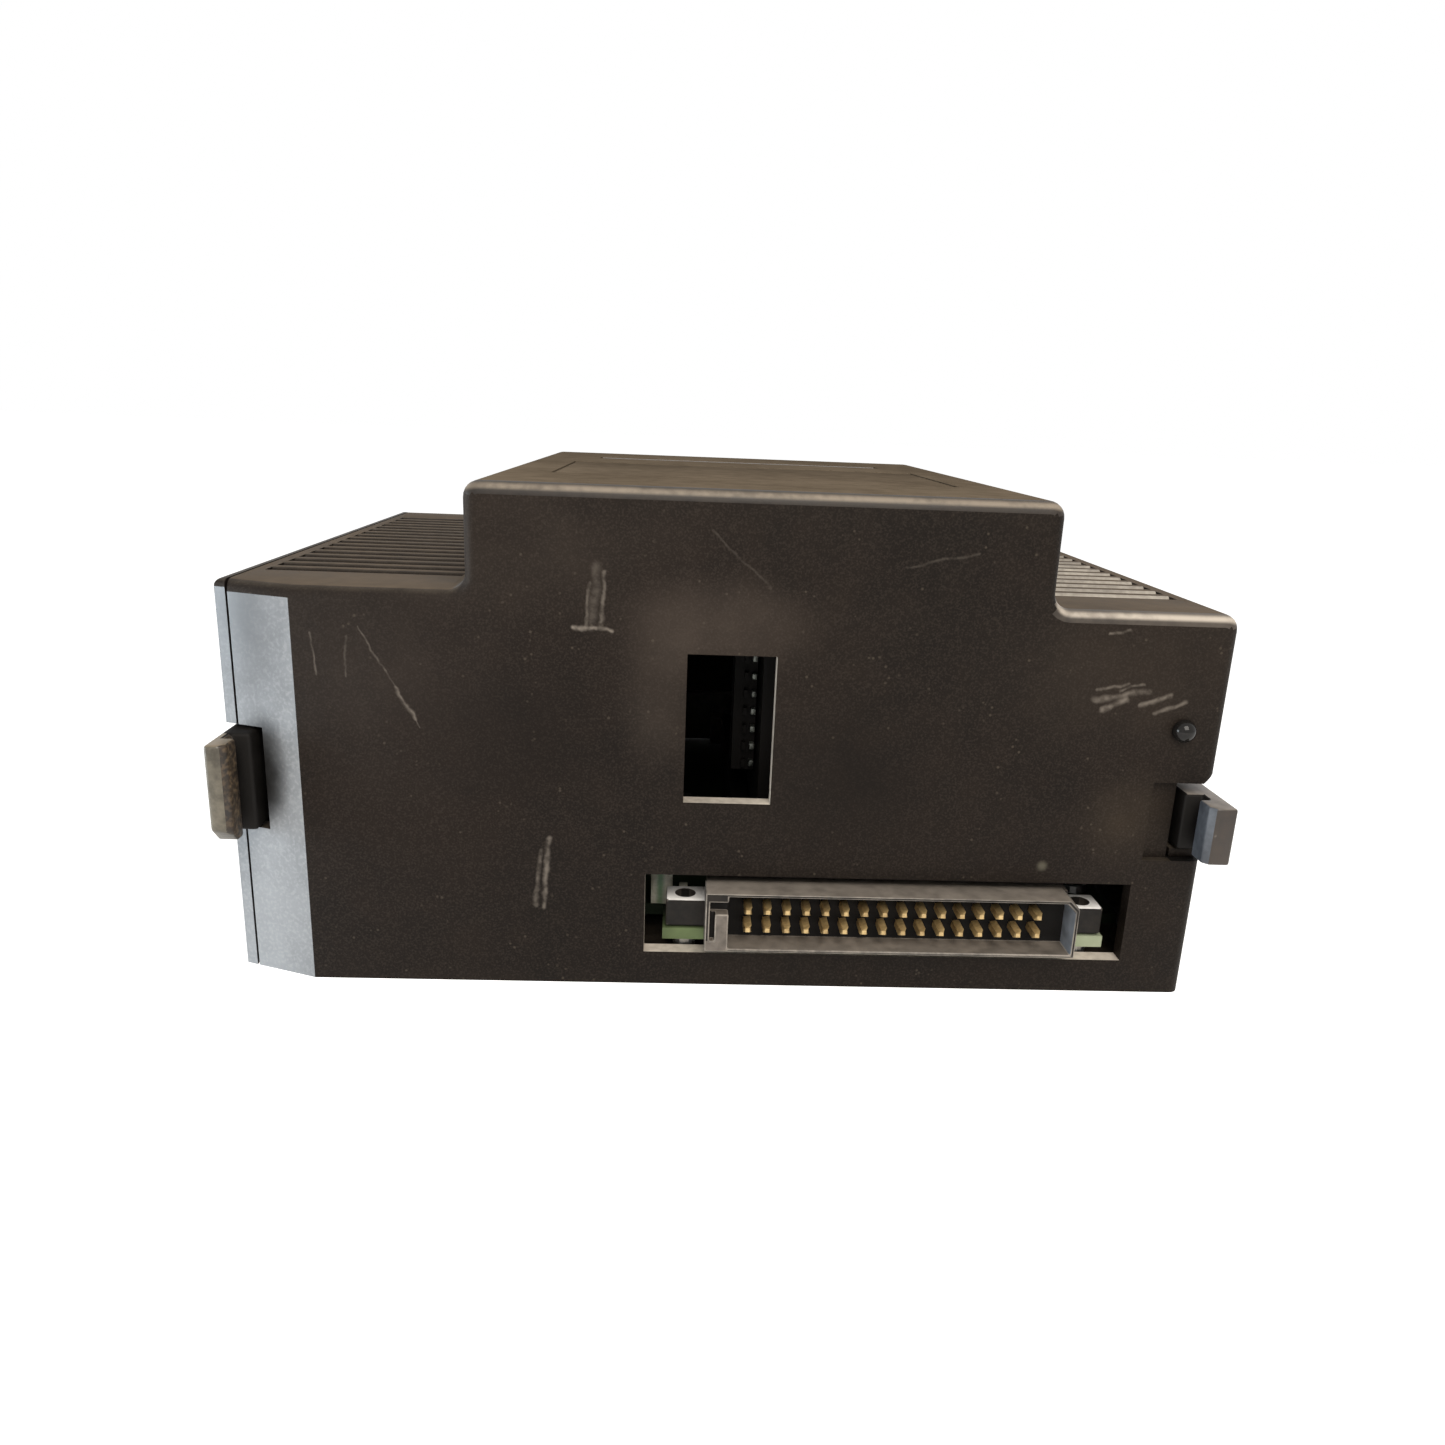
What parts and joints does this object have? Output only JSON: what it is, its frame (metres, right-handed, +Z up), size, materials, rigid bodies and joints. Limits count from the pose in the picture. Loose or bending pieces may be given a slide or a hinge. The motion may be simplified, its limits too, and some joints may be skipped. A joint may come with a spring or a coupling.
{
  "type": "plc module",
  "caption": "Plug-on controller module with a stepped dark case, shrouded bus header, window, shoulder vents, locating stud and sprung hook latches.",
  "frame": {"origin": "centre of the base plate's underside, on the surface that it stands on", "axes": "+X to the right across the mating face, +Y from the mating face to the far face, +Z up"},
  "size_m": [0.1284, 0.099, 0.065],
  "materials": {
    "case_plastic": "fine spark texture, worn",
    "smoked_plastic": "smoky, soiled",
    "latch_plastic": "semi-matt",
    "header_plastic": "glass-filled, matt",
    "contact_gold": "gold plated",
    "screw_steel": "zinc plated",
    "board_laminate": "solder mask",
    "chip_epoxy": "moulded",
    "terminal_plastic": "moulded",
    "capacitor_sleeve": "shrink sleeve",
    "relay_plastic": "moulded",
    "transformer_core": "varnished",
    "label_film": "bare label",
    "guide_lens": "smoked lens"
  },
  "bodies": {
    "case": {"case_shell": "case_plastic", "end_cover": "case_plastic", "base_plate": "case_plastic", "right_latch_pin": "screw_steel", "left_latch_pin": "screw_steel", "right_latch_spring": "screw_steel", "left_latch_spring": "screw_steel", "locating_stud": "latch_plastic", "main_board": "board_laminate", "bus_header": "header_plastic", "bus_pins_upper": "contact_gold", "bus_pins_lower": "contact_gold", "header_screw_1": "screw_steel", "header_screw_2": "screw_steel", "bus_socket": "header_plastic", "socket_contacts_upper": "contact_gold", "socket_contacts_lower": "contact_gold", "field_terminal": "terminal_plastic", "field_terminal_screw_1": "screw_steel", "field_terminal_screw_2": "screw_steel", "field_terminal_screw_3": "screw_steel", "field_terminal_screw_4": "screw_steel", "field_terminal_screw_5": "screw_steel", "field_terminal_screw_6": "screw_steel", "field_terminal_screw_7": "screw_steel", "field_terminal_screw_8": "screw_steel", "supply_terminal": "terminal_plastic", "supply_terminal_screw_1": "screw_steel", "supply_terminal_screw_2": "screw_steel", "supply_terminal_screw_3": "screw_steel", "label_plate": "label_film", "light_guide": "guide_lens", "io_board": "board_laminate", "board_socket": "chip_epoxy", "io_chip": "chip_epoxy", "processor_chip": "chip_epoxy", "capacitor_1": "capacitor_sleeve", "capacitor_2": "capacitor_sleeve", "transformer": "transformer_core", "relay_1": "relay_plastic", "relay_2": "relay_plastic", "relay_3": "relay_plastic", "relay_4": "relay_plastic", "base_screw_1": "screw_steel", "base_screw_2": "screw_steel", "base_screw_3": "screw_steel", "base_screw_4": "screw_steel", "board_screw_1": "screw_steel", "board_screw_2": "screw_steel", "board_screw_3": "screw_steel", "board_screw_4": "screw_steel", "cover_screw_1": "screw_steel", "cover_screw_2": "screw_steel"},
    "right_latch": {"right_latch": "latch_plastic"},
    "left_latch": {"left_latch": "smoked_plastic"}
  },
  "joints": [
    {"name": "right_latch_hinge", "type": "hinge", "parent": "case", "child": "right_latch", "pos_m": [0.06145, -0.028, 0.0247], "axis": [0, 0, 1], "range_deg": [0, 8], "stiffness_Nm_per_rad": 0.05, "springref_deg": -2.86, "deforming": ["right_latch_spring"]},
    {"name": "left_latch_hinge", "type": "hinge", "parent": "case", "child": "left_latch", "pos_m": [-0.06035, -0.028, 0.0269], "axis": [0, 0, -1], "range_deg": [0, 8], "stiffness_Nm_per_rad": 0.05, "springref_deg": -2.86, "deforming": ["left_latch_spring"]}
  ]
}
